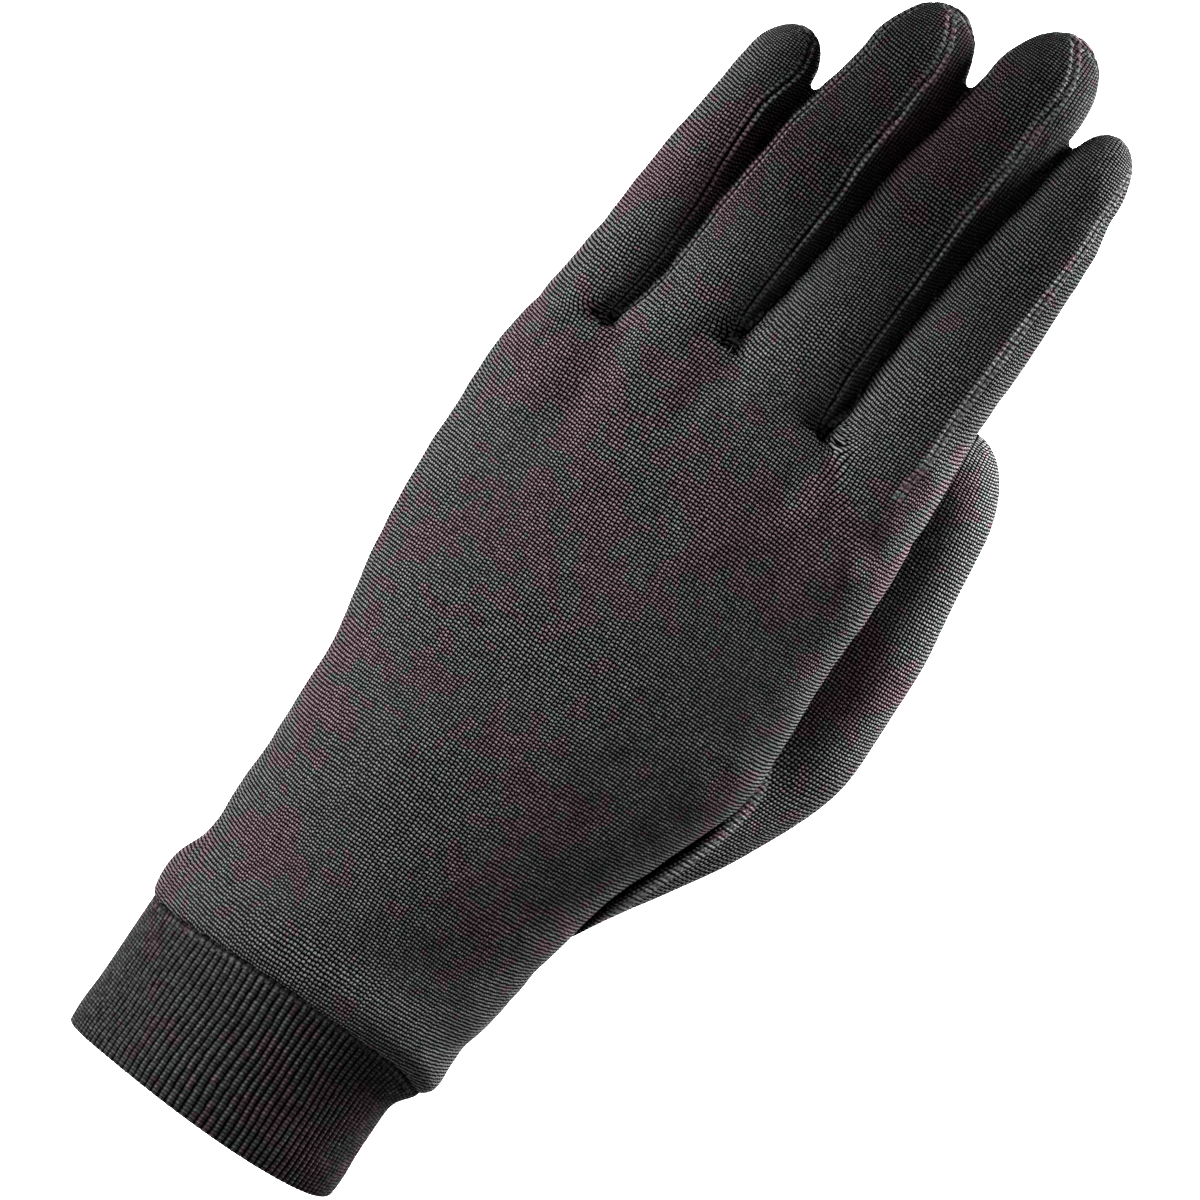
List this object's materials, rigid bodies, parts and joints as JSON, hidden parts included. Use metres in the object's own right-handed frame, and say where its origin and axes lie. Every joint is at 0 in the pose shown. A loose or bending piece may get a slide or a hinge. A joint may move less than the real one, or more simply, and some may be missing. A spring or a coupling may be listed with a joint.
{
  "type": "glove liner",
  "caption": "Thin knitted glove liner for the left hand, in its worn form, with fourchettes, a set-in thumb and a ribbed cuff.",
  "frame": {"origin": "centre of the cuff's opening, where the wrist goes in", "axes": "+Z from the cuff to the fingertips, +X towards the thumb's side, -Y out of the back of the hand"},
  "size_m": [0.1012, 0.0509, 0.2593],
  "materials": {
    "hand_knit": "matte",
    "rib_knit": "matte"
  },
  "bodies": {
    "root": {"cuff": "rib_knit", "back_panel": "hand_knit", "palm_panel": "hand_knit", "fourchette_little_ring": "hand_knit", "fourchette_ring_middle": "hand_knit", "fourchette_middle_fore": "hand_knit", "thumb": "hand_knit"}
  },
  "joints": []
}
